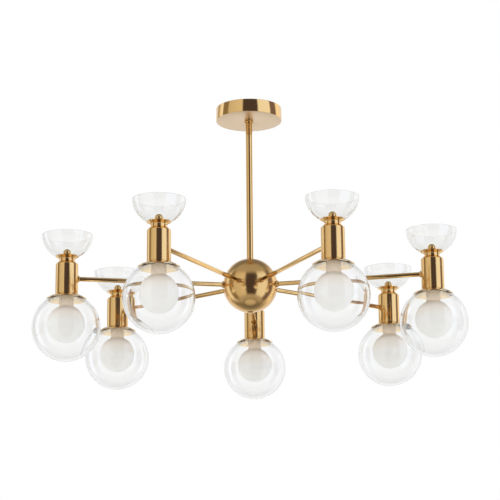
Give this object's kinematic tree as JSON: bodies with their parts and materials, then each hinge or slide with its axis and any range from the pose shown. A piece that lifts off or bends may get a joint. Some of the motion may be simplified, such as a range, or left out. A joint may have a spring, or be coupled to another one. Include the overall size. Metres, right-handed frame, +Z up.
{
  "type": "multi arm chandelier",
  "caption": "Brass ball-hub chandelier on a rigid downrod; straight arms end in upright cups with a clear bowl above and a clear globe over a frosted one below.",
  "frame": {"origin": "on the ceiling plane, on the downrod's axis, where the light hangs", "axes": "+Z up along the downrod, -Y towards the front between two arms, +X to the right; one arm points to +Y"},
  "size_m": [0.7628, 0.7437, 0.482],
  "materials": {
    "polished_brass": "polished under clear lacquer",
    "satin_brass": "satin polished under clear lacquer",
    "cup_brass": "polished, with fine turning lines",
    "canopy_brass": "polished rim and satin underside",
    "plain_brass": "machined, not lacquered",
    "zinc_steel": "zinc plated",
    "terminal_ceramic": "moulded terminal block",
    "clear_glass": "clear blown glass",
    "frosted_glass": "white frosted blown glass"
  },
  "bodies": {
    "fixture": {"ceiling_bracket": "zinc_steel", "rod_nut_upper": "zinc_steel", "rod_nut_lower": "zinc_steel", "terminal_block": "terminal_ceramic", "downrod": "polished_brass", "hub_upper_shell": "satin_brass", "hub_lower_shell": "satin_brass", "hub_core": "plain_brass", "hub_screw": "polished_brass", "arm_1": "polished_brass", "lamp_cup_1": "cup_brass", "saucer_1": "polished_brass", "glass_bowl_1": "clear_glass", "arm_2": "polished_brass", "lamp_cup_2": "cup_brass", "saucer_2": "polished_brass", "glass_bowl_2": "clear_glass", "arm_3": "polished_brass", "lamp_cup_3": "cup_brass", "saucer_3": "polished_brass", "glass_bowl_3": "clear_glass", "arm_4": "polished_brass", "lamp_cup_4": "cup_brass", "saucer_4": "polished_brass", "glass_bowl_4": "clear_glass", "arm_5": "polished_brass", "lamp_cup_5": "cup_brass", "saucer_5": "polished_brass", "glass_bowl_5": "clear_glass", "arm_6": "polished_brass", "lamp_cup_6": "cup_brass", "saucer_6": "polished_brass", "glass_bowl_6": "clear_glass", "arm_7": "polished_brass", "lamp_cup_7": "cup_brass", "saucer_7": "polished_brass", "glass_bowl_7": "clear_glass"},
    "canopy": {"canopy_cover": "canopy_brass", "canopy_collar": "polished_brass"},
    "shade_1": {"glass_globe_1": "clear_glass", "frosted_diffuser_1": "frosted_glass"},
    "shade_2": {"glass_globe_2": "clear_glass", "frosted_diffuser_2": "frosted_glass"},
    "shade_3": {"glass_globe_3": "clear_glass", "frosted_diffuser_3": "frosted_glass"},
    "shade_4": {"glass_globe_4": "clear_glass", "frosted_diffuser_4": "frosted_glass"},
    "shade_5": {"glass_globe_5": "clear_glass", "frosted_diffuser_5": "frosted_glass"},
    "shade_6": {"glass_globe_6": "clear_glass", "frosted_diffuser_6": "frosted_glass"},
    "shade_7": {"glass_globe_7": "clear_glass", "frosted_diffuser_7": "frosted_glass"},
    "finial_1": {"ball_nut_1": "polished_brass"},
    "finial_2": {"ball_nut_2": "polished_brass"},
    "finial_3": {"ball_nut_3": "polished_brass"},
    "finial_4": {"ball_nut_4": "polished_brass"},
    "finial_5": {"ball_nut_5": "polished_brass"},
    "finial_6": {"ball_nut_6": "polished_brass"},
    "finial_7": {"ball_nut_7": "polished_brass"}
  },
  "joints": [
    {"name": "canopy_slide", "type": "slide", "parent": "fixture", "child": "canopy", "axis": [0, 0, -1], "range_m": [0, 0.2]},
    {"name": "shade_1_unscrew", "type": "hinge", "parent": "fixture", "child": "shade_1", "pos_m": [0, 0.33, -0.422], "axis": [0, 0, -1], "range_deg": [0, 900]},
    {"name": "shade_2_unscrew", "type": "hinge", "parent": "fixture", "child": "shade_2", "pos_m": [-0.258, 0.20575, -0.422], "axis": [0, 0, -1], "range_deg": [0, 900]},
    {"name": "shade_3_unscrew", "type": "hinge", "parent": "fixture", "child": "shade_3", "pos_m": [-0.32173, -0.07343, -0.422], "axis": [0, 0, -1], "range_deg": [0, 900]},
    {"name": "shade_4_unscrew", "type": "hinge", "parent": "fixture", "child": "shade_4", "pos_m": [-0.14318, -0.29732, -0.422], "axis": [0, 0, -1], "range_deg": [0, 900]},
    {"name": "shade_5_unscrew", "type": "hinge", "parent": "fixture", "child": "shade_5", "pos_m": [0.14318, -0.29732, -0.422], "axis": [0, 0, -1], "range_deg": [0, 900]},
    {"name": "shade_6_unscrew", "type": "hinge", "parent": "fixture", "child": "shade_6", "pos_m": [0.32173, -0.07343, -0.422], "axis": [0, 0, -1], "range_deg": [0, 900]},
    {"name": "shade_7_unscrew", "type": "hinge", "parent": "fixture", "child": "shade_7", "pos_m": [0.258, 0.20575, -0.422], "axis": [0, 0, -1], "range_deg": [0, 900]},
    {"name": "ball_nut_1_unscrew", "type": "hinge", "parent": "fixture", "child": "finial_1", "pos_m": [0, 0.33, -0.287], "axis": [0, 0, 1], "range_deg": [0, 1440]},
    {"name": "ball_nut_2_unscrew", "type": "hinge", "parent": "fixture", "child": "finial_2", "pos_m": [-0.258, 0.20575, -0.287], "axis": [0, 0, 1], "range_deg": [0, 1440]},
    {"name": "ball_nut_3_unscrew", "type": "hinge", "parent": "fixture", "child": "finial_3", "pos_m": [-0.32173, -0.07343, -0.287], "axis": [0, 0, 1], "range_deg": [0, 1440]},
    {"name": "ball_nut_4_unscrew", "type": "hinge", "parent": "fixture", "child": "finial_4", "pos_m": [-0.14318, -0.29732, -0.287], "axis": [0, 0, 1], "range_deg": [0, 1440]},
    {"name": "ball_nut_5_unscrew", "type": "hinge", "parent": "fixture", "child": "finial_5", "pos_m": [0.14318, -0.29732, -0.287], "axis": [0, 0, 1], "range_deg": [0, 1440]},
    {"name": "ball_nut_6_unscrew", "type": "hinge", "parent": "fixture", "child": "finial_6", "pos_m": [0.32173, -0.07343, -0.287], "axis": [0, 0, 1], "range_deg": [0, 1440]},
    {"name": "ball_nut_7_unscrew", "type": "hinge", "parent": "fixture", "child": "finial_7", "pos_m": [0.258, 0.20575, -0.287], "axis": [0, 0, 1], "range_deg": [0, 1440]}
  ]
}
